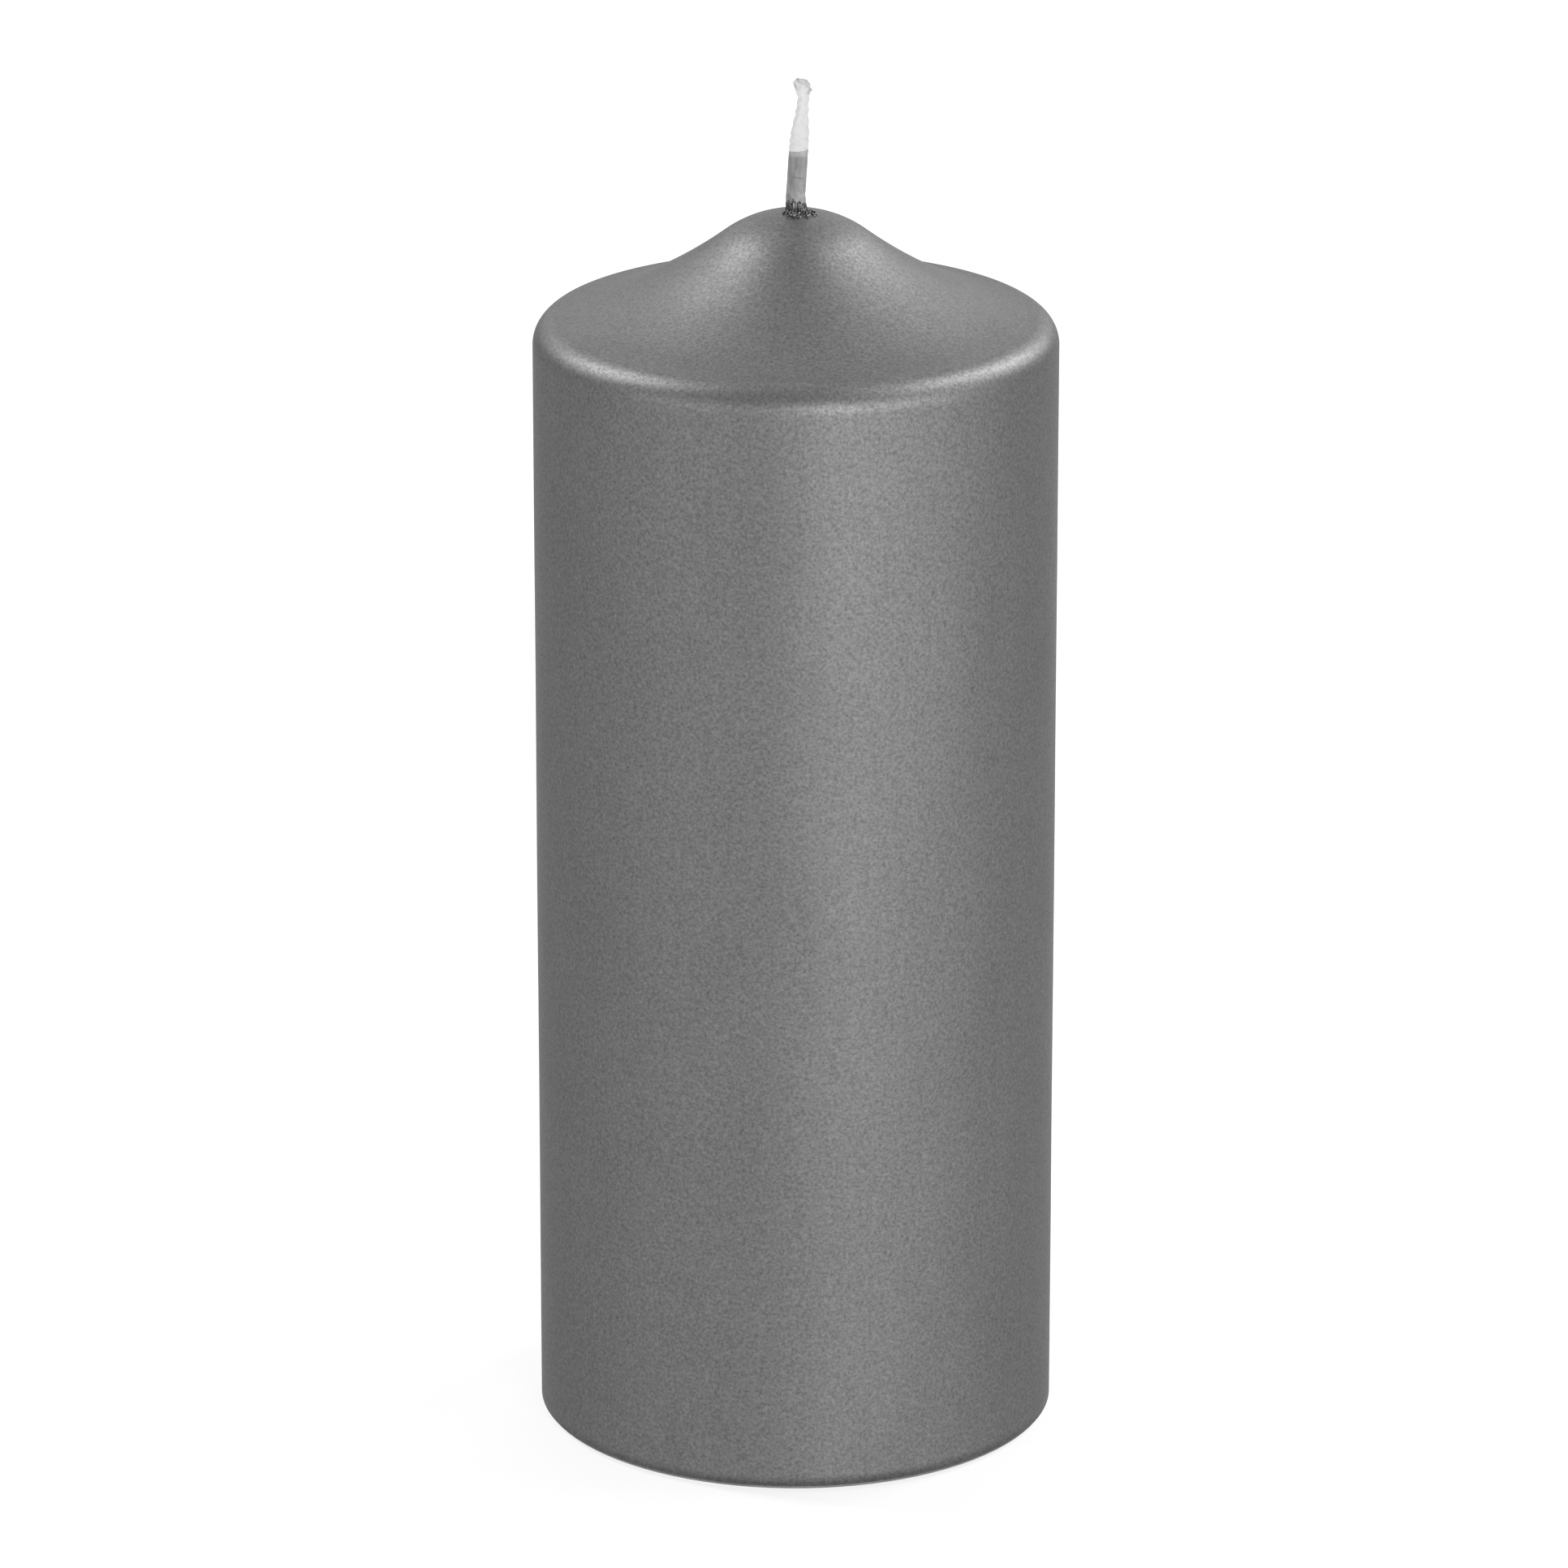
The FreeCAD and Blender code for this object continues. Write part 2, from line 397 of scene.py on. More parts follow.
# angles round the sleeve, where -90 degrees is the front, and heights above the stub in mm
GROOVE_AT, CREASE_AT, BULGE_AT = math.radians(-112), math.radians(-78), math.radians(-60)
CREASE_UP, BULGE_UP = 3.05, 2.7
# how high or deep the sleeve's marks are, in mm
RUNS, FINE_RUNS, LUMPS, LUMPS_AT_ROOT = 0.04, 0.012, 0.012, 0.05
GROOVE_DEPTH, CREASE_DEPTH, BULGE_HEIGHT = 0.045, 0.05, 0.03


def wrapped(angle):
    """The same angle between -pi and pi."""
    return (angle + math.pi) % (2 * math.pi) - math.pi


def bell(x):
    """1 at nought, and down to almost nothing at 2 on both sides."""
    return math.exp(-(x ** 2))


def sleeve_noise(way, z, across, height, start=Vector((0, 0, 0))):
    """Noise with cells this high, and this many across the sleeve's radius."""
    return noise.noise(Vector((way.x * across, way.y * across, z / height)) + start)


def sleeve_relief(angle, z):
    """The runs and lumps of lacquer dried on the braid, in metres."""
    way = Vector((math.cos(angle), math.sin(angle), 0))
    runs = sleeve_noise(way, z, 2.4, 3.6 * MM)
    lumps = sleeve_noise(way, z, 2.0, 0.75 * MM, Vector((4, 9, 2)))
    fine = sleeve_noise(way, z, 7, 0.25 * MM)
    low = 1 - smooth_step((z - STUB_TOP_Z) / (2.2 * MM))
    high = smooth_step((SLEEVE_TOP_Z - z) / (1.2 * MM))
    up = (z - STUB_TOP_Z) / MM
    groove = bell(wrapped(angle - GROOVE_AT) / 0.28) * smooth_step((up - 2.6) / 0.8)
    at_crease = smooth_step((0.9 - abs(wrapped(angle - CREASE_AT))) / 0.3)
    crease = bell((up - CREASE_UP + 0.1 * way.x) / 0.09) * at_crease
    bulge = bell(wrapped(angle - BULGE_AT) / 0.5) * smooth_step((BULGE_UP - up) / 0.4)
    dried = high * (RUNS * runs + FINE_RUNS * fine) + (LUMPS + LUMPS_AT_ROOT * low) * lumps
    marks = dried - GROOVE_DEPTH * groove * high - CREASE_DEPTH * crease + BULGE_HEIGHT * bulge
    return marks * MM


def sleeve_rim(angle):
    """Height of the sleeve's slanting, uneven top at this angle."""
    ragged = noise.noise(Vector((3 * math.cos(angle), 3 * math.sin(angle), 5)))
    return SLEEVE_TOP_Z + (0.3 + 0.12 * math.cos(angle) + 0.04 * ragged) * MM


def make_sleeve(around=110, rings=120):
    """The lacquer on the braid's lower half, a closed skin with an uneven, slanting top."""
    foot = STUB_TOP_Z - 0.7 * MM
    outer, inner, shade = [], [], []
    for i in range(rings + 1):
        t = i / rings
        out_ring, in_ring = [], []
        for j in range(around):
            a = turn(j, around)
            rim = sleeve_rim(a)
            z = foot + (rim - foot) * t
            half_w, half_t = braid_halves(z)
            swollen = 1 + 0.05 * smooth_step((STUB_TOP_Z + 1.0 * MM - z) / (1.4 * MM))
            relief = sleeve_relief(a, z)
            r = stadium_radius(a, half_w + SLEEVE_T, half_t + SLEEVE_T) * swollen + relief
            edge = 0.6 * SLEEVE_T * smooth_step((z - rim + 0.5 * MM) / (0.5 * MM))
            # the relief, kept for the material's painted shade in the hollows and painted highlight
            # on the ridges
            shade.append(0.5 + relief / (0.16 * MM))
            core = stadium_radius(a, half_w - 0.1 * MM, half_t - 0.1 * MM)
            along, across = braid_axes(z)
            way = along * math.cos(a) + across * math.sin(a)
            middle = Vector((braid_x(z), 0, z))
            out_ring.append(middle + way * (r - edge))
            in_ring.append(middle + way * core)
        outer.append(out_ring)
        inner.append(in_ring)
    shell = outer + inner[::-1]
    vertices = [v for ring in shell for v in ring]
    piece = new_piece("wick_lacquer", vertices, shell_faces(len(shell), around))
    paint(piece, "relief", shade + [0.5] * (len(inner) * around))
    return piece


# ---------------------------------------------------------------- crumbs round the wick's root
def crown_z(x, y):
    """Height of the crown's ball above a point."""
    return APEX_Z - CROWN_R + math.sqrt(CROWN_R ** 2 - x * x - y * y)


def crumple(x, y):
    """0 in the cracks of the torn film to 1 on its crests."""
    p = Vector((x, y, 0)) / (0.34 * MM)
    a = 1 - abs(noise.noise(p + Vector((3, 1, 7)))) * 3.2
    b = 1 - abs(noise.noise(p * 2.3 + Vector((8, 2, 5)))) * 3.0
    return min(max(0.62 * a + 0.38 * b, 0.0), 1.0)


# the torn ring's middle, where it climbs highest up the wick, and how deep its underside lies
TORN_MIDDLE = Vector((0.45, -0.95, 0)) * MM
CLIMB_AT = math.radians(-105)
SUNK = 0.12 * MM
# half the width and half the thickness of the flat opening that the wick goes through
RING_OPENING = (1.36 * MM, 0.9 * MM)
GRAIN_OPENING = (1.3 * MM, 0.8 * MM)
GRAINS = 190


def torn_edge(angle):
    """How far the torn ring reaches from its middle, which lies to the wick's front and +X."""
    reach = 1 / math.hypot(math.cos(angle) / 2.15, math.sin(angle) / 2.3)
    ragged = 1 + 0.22 * noise.noise(Vector((2.2 * math.cos(angle), 2.2 * math.sin(angle), 3)))
    return reach * ragged * MM


def in_torn_ring(angle, inner, t):
    """A place in the torn ring, from its inner edge at 0 to its torn one at 1."""
    r = inner + (torn_edge(angle) - inner) * t
    return r * math.cos(angle) + TORN_MIDDLE.x * t, r * math.sin(angle) + TORN_MIDDLE.y * t


def make_crumbs(around=200, rings=36):
    """A torn, crumpled collar of dried lacquer with loose grains of random tones in it, its cracks
    darkened as painted shade and its crests lightened as painted highlight.
    """
    rng = random.Random(5)
    top, under, shade = [], [], []
    for i in range(rings + 1):
        t = i / rings
        top_ring, under_ring = [], []
        for j in range(around):
            a = turn(j, around)
            x, y = in_torn_ring(a, stadium_radius(a, *RING_OPENING), t)
            crest = crumple(x, y)
            ragged = noise.noise(Vector((4 * math.cos(a), 4 * math.sin(a), 9)))
            torn = math.cos(a - CLIMB_AT) + 1.2 * ragged
            climb = (1.05 + 0.35 * torn) * (1 - t) ** 9
            height = (climb + 0.3 * crest * (1 - t ** 4) - 0.1 * t) * MM
            top_ring.append(Vector((x, y, crown_z(x, y) + height)))
            under_ring.append(Vector((x, y, crown_z(x, y) - SUNK)))
            # the crest height, kept for the material's painted shade in the cracks and painted
            # highlight on the crests
            shade.append(crest)
        top.append(top_ring)
        under.append(under_ring)
    shell = top + under[::-1]
    shade += [0.0] * (len(under) * around)
    vertices = [v for ring in shell for v in ring]
    faces = shell_faces(len(shell), around)
    for _ in range(GRAINS):
        a = rng.uniform(0, 2 * math.pi)
        t = rng.uniform(0.25, 1.05)
        x, y = in_torn_ring(a, stadium_radius(a, *GRAIN_OPENING), t)
        size = rng.uniform(0.05, 0.14) * MM
        lift = max(0.0, 1 - t) ** 9 + 0.13
        middle = Vector((x, y, crown_z(x, y) + lift * MM))
        add_grain(middle, size, rng, vertices, faces, shade)
    piece = new_piece("wick_root_crumbs", vertices, faces)
    paint(piece, "crest", shade)
    return piece


def add_grain(middle, size, rng, vertices, faces, shade):
    """A small irregular grain of dried lacquer."""
    rows, around = 6, 8
    seed = Vector([rng.uniform(0, 50) for _ in range(3)])
    tone = rng.choice([0.1, 0.3, 0.5, 0.8, 1.2])
    rings = []
    for i in range(rows + 1):
        polar = math.pi * (0.04 + 0.92 * i / rows)
        ring = []
        for j in range(around):
            a = turn(j, around)
            level = math.sin(polar)
            way = Vector((level * math.cos(a), level * math.sin(a), math.cos(polar)))
            ring.append(middle + way * size * (1 + 0.55 * noise.noise(way * 1.6 + seed)))
        rings.append(ring)
    closed_tube([ring[::-1] for ring in rings], vertices, faces)
    shade.extend([tone] * ((rows + 1) * around))


# ---------------------------------------------------------------- materials
def new_material(name):
    """A material with only a Principled shader, and the object's own coordinates."""
    material = bpy.data.materials.new(name)
    material.use_nodes = True
    tree = material.node_tree
    tree.nodes.clear()
    out = tree.nodes.new("ShaderNodeOutputMaterial")
    shader = tree.nodes.new("ShaderNodeBsdfPrincipled")
    tree.links.new(shader.outputs["BSDF"], out.inputs["Surface"])
    coords = tree.nodes.new("ShaderNodeTexCoord").outputs["Object"]
    return material, tree, shader, coords


def add_noise(tree, coords, size, detail=2.0, roughness=0.5, stretch=(1, 1, 1)):
    """Noise whose features are about size metres across, longer where stretch is more than 1."""
    mapping = tree.nodes.new("ShaderNodeMapping")
    mapping.inputs["Scale"].default_value = [1 / (size * s) for s in stretch]
    tree.links.new(coords, mapping.inputs["Vector"])
    node = tree.nodes.new("ShaderNodeTexNoise")
    node.inputs["Scale"].default_value = 1.0
    node.inputs["Detail"].default_value = detail
    node.inputs["Roughness"].default_value = roughness
    tree.links.new(mapping.outputs["Vector"], node.inputs["Vector"])
    return node.outputs["Fac"]


def add_ramp(tree, value, stops):
    """A colour ramp from (position, grey or colour) stops."""
    ramp = tree.nodes.new("ShaderNodeValToRGB")
    elements = ramp.color_ramp.elements
    while len(elements) < len(stops):
        elements.new(0.5)
    for element, (position, colour) in zip(elements, stops):
        element.position = position
        rgb = colour if isinstance(colour, tuple) else (colour,) * 3
        element.color = (*rgb, 1)
    tree.links.new(value, ramp.inputs["Fac"])
    return ramp.outputs["Color"]


def add_multiply(tree, a, b):
    """One colour times another."""
    mix = tree.nodes.new("ShaderNodeMix")
    mix.data_type = "RGBA"
    mix.blend_type = "MULTIPLY"
    mix.inputs["Factor"].default_value = 1.0
    tree.links.new(a, mix.inputs["A"])
    tree.links.new(b, mix.inputs["B"])
    return mix.outputs["Result"]


def add_bump(tree, height, depth, below=None):
    """Bump of this depth in metres, on top of another bump if there is one."""
    bump = tree.nodes.new("ShaderNodeBump")
    bump.inputs["Strength"].default_value = 1.0
    bump.inputs["Distance"].default_value = depth
    tree.links.new(height, bump.inputs["Height"])
    if below:
        tree.links.new(below, bump.inputs["Normal"])
    return bump.outputs["Normal"]


EDGE_TINT = 0.6


def lacquer_material():
    """Metallic lacquer with fine flakes, faint streaks down the wall and cloudy mottle."""
    material, tree, shader, coords = new_material("flake_lacquer")
    flakes = add_noise(tree, coords, 0.42 * MM, detail=2.0, roughness=0.75)
    runs = add_noise(tree, coords, 0.9 * MM, detail=1.0, stretch=(1, 1, 14))
    clouds = add_noise(tree, coords, 9 * MM, detail=3.0, stretch=(1, 1, 2))
    grain = add_ramp(tree, flakes, [(0.25, 0.098), (0.75, 0.203)])
    streaks = add_ramp(tree, runs, [(0.3, 0.975), (0.7, 1.0)])
    mottle = add_ramp(tree, clouds, [(0.3, 0.95), (0.7, 1.0)])
    tone = add_multiply(tree, grain, add_multiply(tree, streaks, mottle))
    tree.links.new(tone, shader.inputs["Base Color"])
    shader.inputs["Metallic"].default_value = 1.0
    shader.inputs["Specular Tint"].default_value = (EDGE_TINT,) * 3 + (1,)
    rough = add_ramp(tree, flakes, [(0.3, 0.56), (0.7, 0.52)])
    tree.links.new(rough, shader.inputs["Roughness"])
    tree.links.new(add_bump(tree, flakes, 0.02 * MM), shader.inputs["Normal"])
    return material


def add_attribute(tree, name):
    """A value painted on the mesh's vertices."""
    node = tree.nodes.new("ShaderNodeAttribute")
    node.attribute_name = name
    return node.outputs["Fac"]


def cotton_material():
    """Bleached cotton with fine fibres along the wick."""
    material, tree, shader, coords = new_material("cotton_yarn")
    fibres = add_noise(tree, coords, 0.06 * MM, detail=3.0, stretch=(1, 1, 5))
    patches = add_noise(tree, coords, 1.6 * MM, detail=1.0)
    tone = add_ramp(tree, fibres, [(0.3, 0.79), (0.7, 0.86)])
    soft = add_ramp(tree, patches, [(0.3, 0.96), (0.7, 1.0)])
    tree.links.new(add_multiply(tree, tone, soft), shader.inputs["Base Color"])
    shader.inputs["Roughness"].default_value = 0.95
    tree.links.new(add_bump(tree, fibres, 0.01 * MM), shader.inputs["Normal"])
    return material


def height_in(tree, coords, low, high):
    """0 below one height to 1 above another."""
    split = tree.nodes.new("ShaderNodeSeparateXYZ")
    tree.links.new(coords, split.inputs["Vector"])
    scale = tree.nodes.new("ShaderNodeMapRange")
    scale.inputs["From Min"].default_value = low
    scale.inputs["From Max"].default_value = high
    tree.links.new(split.outputs["Z"], scale.inputs["Value"])
    return scale.outputs["Result"]


def wick_lacquer_material():
    """Lacquer soaked into cotton, with painted shade in its grooves and hollows, painted highlight on
    its ridges, and pale near its rim.
    """
    material, tree, shader, coords = new_material("lacquer_on_cotton")
    runs = add_noise(tree, coords, 0.55 * MM, detail=3.0, stretch=(1, 1, 3.5))
    flakes = add_noise(tree, coords, 0.1 * MM, detail=2.0)
    # painted shade in the hollows and painted highlight on the ridges, read from the sleeve's relief
    relief_shade = add_ramp(tree, add_attribute(tree, "relief"), [(0.1, 0.62), (0.5, 0.92), (0.85, 1.15)])
    running = add_ramp(tree, runs, [(0.3, 0.17), (0.5, 0.205), (0.7, 0.25)])
    tone = add_multiply(tree, relief_shade, running)
    speckle = add_ramp(tree, flakes, [(0.3, 0.88), (0.7, 1.0)])
    near_rim = height_in(tree, coords, SLEEVE_TOP_Z - 0.5 * MM, SLEEVE_TOP_Z + 0.1 * MM)
    soaked = add_ramp(tree, near_rim, [(0.0, 1.0), (0.35, 1.35), (1.0, 1.5)])
    grey = add_multiply(tree, add_multiply(tree, tone, speckle), soaked)
    tree.links.new(grey, shader.inputs["Base Color"])
    shader.inputs["Metallic"].default_value = 0.25
    rough = add_ramp(tree, runs, [(0.3, 0.5), (0.7, 0.62)])
    tree.links.new(rough, shader.inputs["Roughness"])
    tree.links.new(add_bump(tree, flakes, 0.008 * MM), shader.inputs["Normal"])
    return material


def crumb_material():
    """Torn lacquer, with painted shade that turns its cracks black and painted highlight on its
    crests.
    """
    material, tree, shader, coords = new_material("torn_lacquer")
    crest = add_attribute(tree, "crest")
    flecks = add_noise(tree, coords, 0.14 * MM, detail=2.0)
    # painted shade in the cracks and painted highlight on the crests; the loose grains carry random
    # tones
    tone = add_ramp(tree, crest, [(0.0, 0.012), (0.5, 0.04), (0.8, 0.13), (1.0, 0.4)])
    speckle = add_ramp(tree, flecks, [(0.3, 0.6), (0.7, 1.0)])
    tree.links.new(add_multiply(tree, tone, speckle), shader.inputs["Base Color"])
    shader.inputs["Metallic"].default_value = 0.7
    shader.inputs["Roughness"].default_value = 0.38
    tree.links.new(add_bump(tree, flecks, 0.015 * MM), shader.inputs["Normal"])
    return material


def pressed_wax_material():
    """White wax pressed from granules, which still show as pale cells with darker joints."""
    material, tree, shader, coords = new_material("wax_granules")
    cells = tree.nodes.new("ShaderNodeTexVoronoi")
    cells.feature = "DISTANCE_TO_EDGE"
    cells.inputs["Scale"].default_value = 1 / (1.3 * MM)
    tree.links.new(coords, cells.inputs["Vector"])
    fine = add_noise(tree, coords, 0.4 * MM, detail=3.0)
    joint, rim, middle = (0.66, 0.65, 0.6), (0.84, 0.83, 0.78), (0.87, 0.86, 0.81)
    joints = add_ramp(tree, cells.outputs["Distance"], [(0.0, joint), (0.12, rim), (0.5, middle)])
    tone = add_multiply(tree, joints, add_ramp(tree, fine, [(0.3, 0.94), (0.7, 1.0)]))
    tree.links.new(tone, shader.inputs["Base Color"])
    shader.inputs["Roughness"].default_value = 0.62
    shader.inputs["Subsurface Weight"].default_value = 0.15
    shader.inputs["Subsurface Scale"].default_value = 1.0 * MM
    pressed = add_ramp(tree, cells.outputs["Distance"], [(0.0, 0.0), (0.14, 1.0)])
    ground = add_bump(tree, pressed, 0.05 * MM)
    tree.links.new(add_bump(tree, fine, 0.03 * MM, ground), shader.inputs["Normal"])
    return material


def dip_wax_material():
    """Grey dyed wax from the dipping vat, satin and a little cloudy."""
    material, tree, shader, coords = new_material("dyed_dip")
    clouds = add_noise(tree, coords, 4 * MM, detail=4.0)
    fine = add_noise(tree, coords, 0.3 * MM, detail=2.0)
    tone = add_ramp(tree, clouds, [(0.3, (0.1, 0.1, 0.104)), (0.7, (0.14, 0.14, 0.146))])
    tree.links.new(tone, shader.inputs["Base Color"])
    tree.links.new(add_ramp(tree, clouds, [(0.3, 0.42), (0.7, 0.52)]), shader.inputs["Roughness"])
    tree.links.new(add_bump(tree, fine, 0.01 * MM), shader.inputs["Normal"])
    return material


def poured_wax_material():
    """White wax poured into the base, with the shallow ripples and pinholes it sets with, the
    pinholes darkened with painted shade.
    """
    material, tree, shader, coords = new_material("poured_paraffin")
    ripples = add_noise(tree, coords, 3.5 * MM, detail=2.0)
    pits = tree.nodes.new("ShaderNodeTexVoronoi")
    pits.inputs["Scale"].default_value = 1 / (1.6 * MM)
    tree.links.new(coords, pits.inputs["Vector"])
    holes = add_ramp(tree, pits.outputs["Distance"], [(0.05, 0.0), (0.14, 1.0)])
    cloudy = add_ramp(tree, ripples, [(0.3, (0.79, 0.78, 0.72)), (0.7, (0.86, 0.85, 0.8))])
    # the pinholes darkened in the colour: painted shade
    tone = add_multiply(tree, cloudy, add_ramp(tree, holes, [(0.0, 0.72), (1.0, 1.0)]))
    tree.links.new(tone, shader.inputs["Base Color"])
    shader.inputs["Roughness"].default_value = 0.38
    shader.inputs["Subsurface Weight"].default_value = 0.25
    shader.inputs["Subsurface Scale"].default_value = 1.5 * MM
    waves = add_bump(tree, ripples, 0.25 * MM)
    tree.links.new(add_bump(tree, holes, 0.08 * MM, waves), shader.inputs["Normal"])
    return material


def tinned_steel_material():
    """Tinned sheet steel with faint rolling lines and spangle."""
    material, tree, shader, coords = new_material("tinned_steel")
    lines = add_noise(tree, coords, 0.12 * MM, detail=2.0, stretch=(30, 1, 1))
    spangle = add_noise(tree, coords, 1.8 * MM, detail=1.0)
    tone = add_multiply(
        tree,
        add_ramp(tree, lines, [(0.3, 0.5), (0.7, 0.62)]),
        add_ramp(tree, spangle, [(0.4, 0.9), (0.6, 1.0)]),
    )
    tree.links.new(tone, shader.inputs["Base Color"])
    shader.inputs["Metallic"].default_value = 1.0
    tree.links.new(add_ramp(tree, lines, [(0.3, 0.26), (0.7, 0.38)]), shader.inputs["Roughness"])
    tree.links.new(add_bump(tree, lines, 0.006 * MM), shader.inputs["Normal"])
    return material


def finish_node(name, material):
    """Gives a carried-over CAD node its material."""
    for material_slot in bpy.data.objects[name].material_slots:
        material_slot.material = material


# ---------------------------------------------------------------- camera, floor and lights
# the lens and its sensor in mm, the clipping in metres, the pitch in degrees
LENS, SENSOR_WIDTH = 210.0, 36.0
CLIP_START, CLIP_END = 0.05, 20
CAMERA_PLACE = Vector((-1.58, -1169.3, 485.1)) * MM
PITCH_DOWN = 18.74


def make_camera():
    """A long lens that looks down at the candle."""
    data = bpy.data.cameras.new("camera")
    data.lens = LENS
    data.sensor_width = SENSOR_WIDTH
    data.clip_start = CLIP_START
    data.clip_end = CLIP_END
    camera = bpy.data.objects.new("camera", data)
    camera.location = CAMERA_PLACE
    camera.rotation_euler = (math.radians(90 - PITCH_DOWN), 0, 0)
    bpy.context.scene.collection.objects.link(camera)
    bpy.context.scene.camera = camera


# the floor's glow, where 1 is full white, and the share of light that it throws back
FLOOR_GLOW, FLOOR_WHITE = 0.8, 0.12
# kept off the base, so that the two don't flicker
FLOOR_GAP = 0.3 * MM
# metres from the candle to the floor's nearest edge, and to where the glow goes up to full white
FLOOR_REACH = 1.6
FADE_FROM, FADE_TO = 0.3, 0.8


def make_floor():
    """A light table: a pale floor that glows a little, so that the shadow on it stays faint."""
    side = 2 * math.sqrt(3) * FLOOR_REACH
    corners = [(side / 2, FLOOR_REACH, 0), (-side / 2, FLOOR_REACH, 0), (0, -2 * FLOOR_REACH, 0)]
    floor = new_piece("floor", corners, [(0, 1, 2)])
    floor.location.z = cad_low.z - FLOOR_GAP
    material, tree, shader, coords = new_material("light_table")
    shader.inputs["Base Color"].default_value = (FLOOR_WHITE,) * 3 + (1,)
    shader.inputs["Roughness"].default_value = 0.9
    shader.inputs["Emission Color"].default_value = (1, 1, 1, 1)
    tree.links.new(far_glow(tree, coords), shader.inputs["Emission Strength"])
    open_below(tree, shader)
    floor.data.materials.append(material)


def far_glow(tree, coords):
    """The floor's glow, which goes up to full white in the distance, for the camera's eye only."""
    length = tree.nodes.new("ShaderNodeVectorMath")
    length.operation = "LENGTH"
    tree.links.new(coords, length.inputs[0])
    far = tree.nodes.new("ShaderNodeMapRange")
    far.inputs["From Min"].default_value = FADE_FROM
    far.inputs["From Max"].default_value = FADE_TO
    tree.links.new(length.outputs["Value"], far.inputs["Value"])
    seen = tree.nodes.new("ShaderNodeMath")
    seen.operation = "MULTIPLY"
    tree.links.new(far.outputs["Result"], seen.inputs[0])
    tree.links.new(tree.nodes.new("ShaderNodeLightPath").outputs["Is Camera Ray"], seen.inputs[1])
    glow = tree.nodes.new("ShaderNodeMath")
    glow.operation = "MULTIPLY_ADD"
    tree.links.new(seen.outputs["Value"], glow.inputs[0])
    glow.inputs[1].default_value = 1.0 - FLOOR_GLOW
    glow.inputs[2].default_value = FLOOR_GLOW
    return glow.outputs["Value"]


def open_below(tree, shader):
    """Lets the floor be seen through from underneath, so that the base can be looked at."""
    side = tree.nodes.new("ShaderNodeNewGeometry").outputs["Backfacing"]
    clear = tree.nodes.new("ShaderNodeBsdfTransparent").outputs["BSDF"]
    mix = tree.nodes.new("ShaderNodeMixShader")
    tree.links.new(side, mix.inputs[0])
    tree.links.new(shader.outputs["BSDF"], mix.inputs[1])
    tree.links.new(clear, mix.inputs[2])
    out = next(node for node in tree.nodes if node.type == "OUTPUT_MATERIAL")
    tree.links.new(mix.outputs[0], out.inputs["Surface"])


# name, azimuth and elevation of the middle, width and height (all degrees), radiance
SOFTBOXES = [
    ("key", 20, 11, 18, 26, 15.5),
    ("left_fill", -46, 8, 41, 20, 4.0),
    ("right_fill", 57, 8, 22, 20, 8.0),
    ("right_back", 125, 32, 18, 20, 20.5),
    ("left_back", -113, 44, 14, 32, 28.5),
    ("right_top", 94, 51, 36, 28, 9.6),
    ("back", 180, 22, 64, 12, 4.0),
    ("back_high", 180, 50, 50, 20, 1.5),
]
FLAGGED_OFF_WICK = ("key", "right_back", "left_back", "right_top", "back")
# how far the softboxes stand from the point they face, and that point, in metres
BOX_DISTANCE = 1.5
AIM = Vector((0, 0, 0.1))
AMBIENT = 0.33


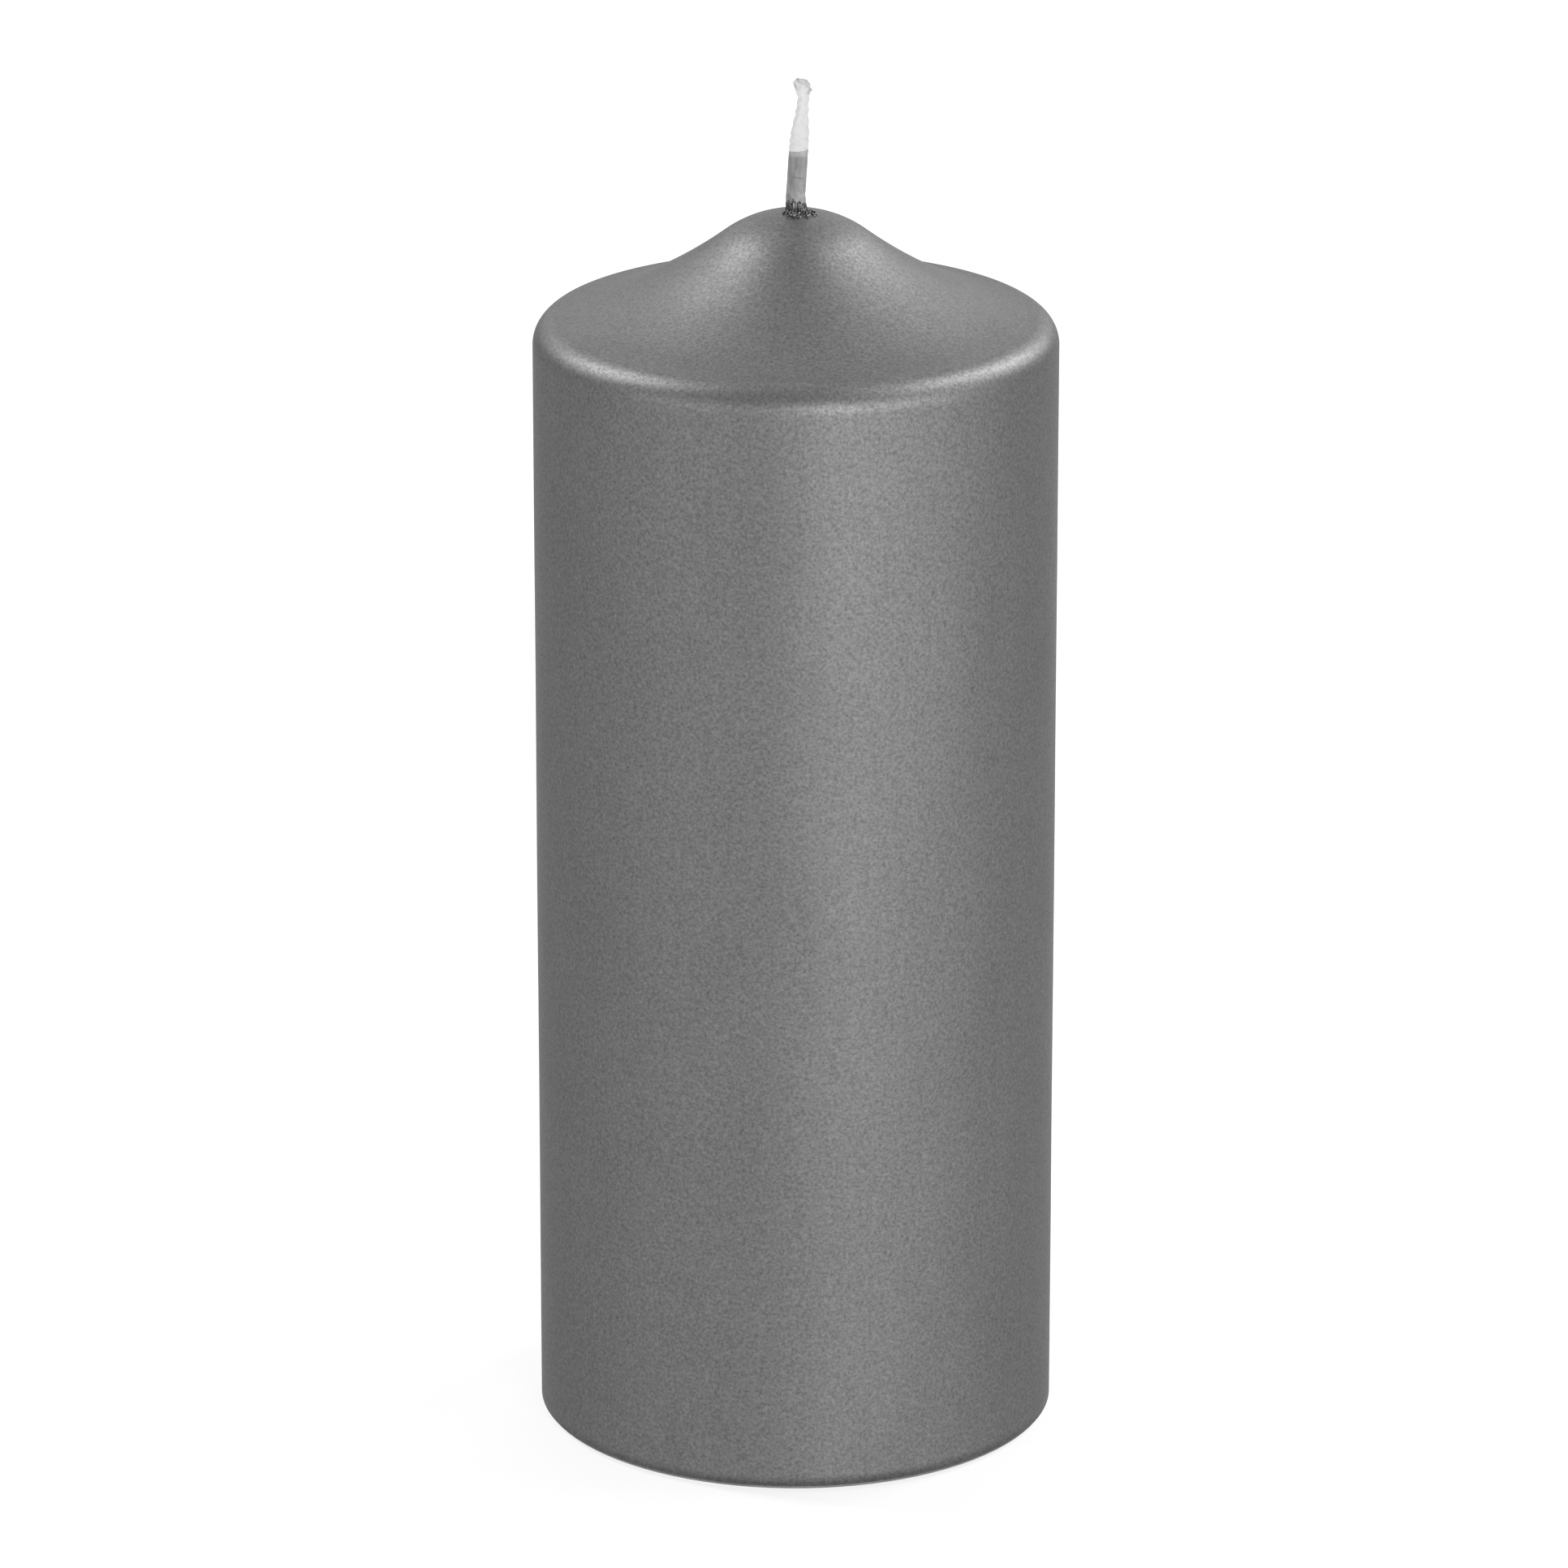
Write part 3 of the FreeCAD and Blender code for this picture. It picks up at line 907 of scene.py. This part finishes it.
def make_softbox(name, azimuth, elevation, width, height, radiance):
    """A softbox that faces the candle. Azimuth 0 is the camera's side, 90 is +X."""
    data = bpy.data.lights.new(name, "AREA")
    data.shape = "RECTANGLE"
    data.size = BOX_DISTANCE * math.radians(width) * math.cos(math.radians(elevation))
    data.size_y = BOX_DISTANCE * math.radians(height)
    data.energy = math.pi * data.size * data.size_y * radiance
    light = bpy.data.objects.new(name, data)
    a, e = math.radians(azimuth), math.radians(elevation)
    away = Vector((math.sin(a) * math.cos(e), -math.cos(a) * math.cos(e), math.sin(e)))
    light.location = AIM + away * BOX_DISTANCE
    light.rotation_mode = "QUATERNION"
    light.rotation_quaternion = away.to_track_quat("Z", "Y")
    light.visible_camera = False
    bpy.context.scene.collection.objects.link(light)
    if name in FLAGGED_OFF_WICK:
        flag_off(light, braid)


def flag_off(light, piece):
    """Keeps a light off a piece, as a flag on a stand does."""
    lit = bpy.data.collections.new(light.name + "_flag")
    lit.objects.link(piece)
    light.light_linking.receiver_collection = lit
    lit.collection_objects[0].light_linking.link_state = "EXCLUDE"


def make_world():
    """Dim light from all round, in front of a white backdrop."""
    world = bpy.data.worlds.new("studio")
    world.use_nodes = True
    nodes, links = world.node_tree.nodes, world.node_tree.links
    background = nodes["Background"]
    background.inputs["Color"].default_value = (1, 1, 1, 1)
    background.inputs["Strength"].default_value = AMBIENT
    white = nodes.new("ShaderNodeBackground")
    mix = nodes.new("ShaderNodeMixShader")
    links.new(nodes.new("ShaderNodeLightPath").outputs["Is Camera Ray"], mix.inputs[0])
    links.new(background.outputs[0], mix.inputs[1])
    links.new(white.outputs[0], mix.inputs[2])
    links.new(mix.outputs[0], nodes["World Output"].inputs["Surface"])
    white.inputs["Color"].default_value = (1, 1, 1, 1)
    bpy.context.scene.world = world


# ---------------------------------------------------------------- the pieces; the skin and the crumbs go on the candle's body
skin = make_lacquer_skin()
skin.data.materials.append(lacquer_material())
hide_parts("lacquer_film")
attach(skin, "candle")

braid = make_braid()
braid.data.materials.append(cotton_material())
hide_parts("wick_free_end")
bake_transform(braid)

sleeve = make_sleeve()
sleeve.data.materials.append(wick_lacquer_material())
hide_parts("wick_lacquer_sleeve")
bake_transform(sleeve)

crumbs = make_crumbs()
crumbs.data.materials.append(crumb_material())
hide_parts("lacquer_crumbs")
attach(crumbs, "candle")

poured_wax = poured_wax_material()
finish_node("wax_core", pressed_wax_material())
finish_node("colour_dip_coat", dip_wax_material())
finish_node("base_seal", poured_wax)
finish_node("bore_wax", poured_wax)
finish_node("wick_sustainer", tinned_steel_material())
finish_node("wick_in_wax", braid.data.materials[0])

# ---------------------------------------------------------------- the studio
make_camera()
make_floor()
make_world()
for box in SOFTBOXES:
    make_softbox(*box)
bpy.context.scene.view_settings.view_transform = "Standard"
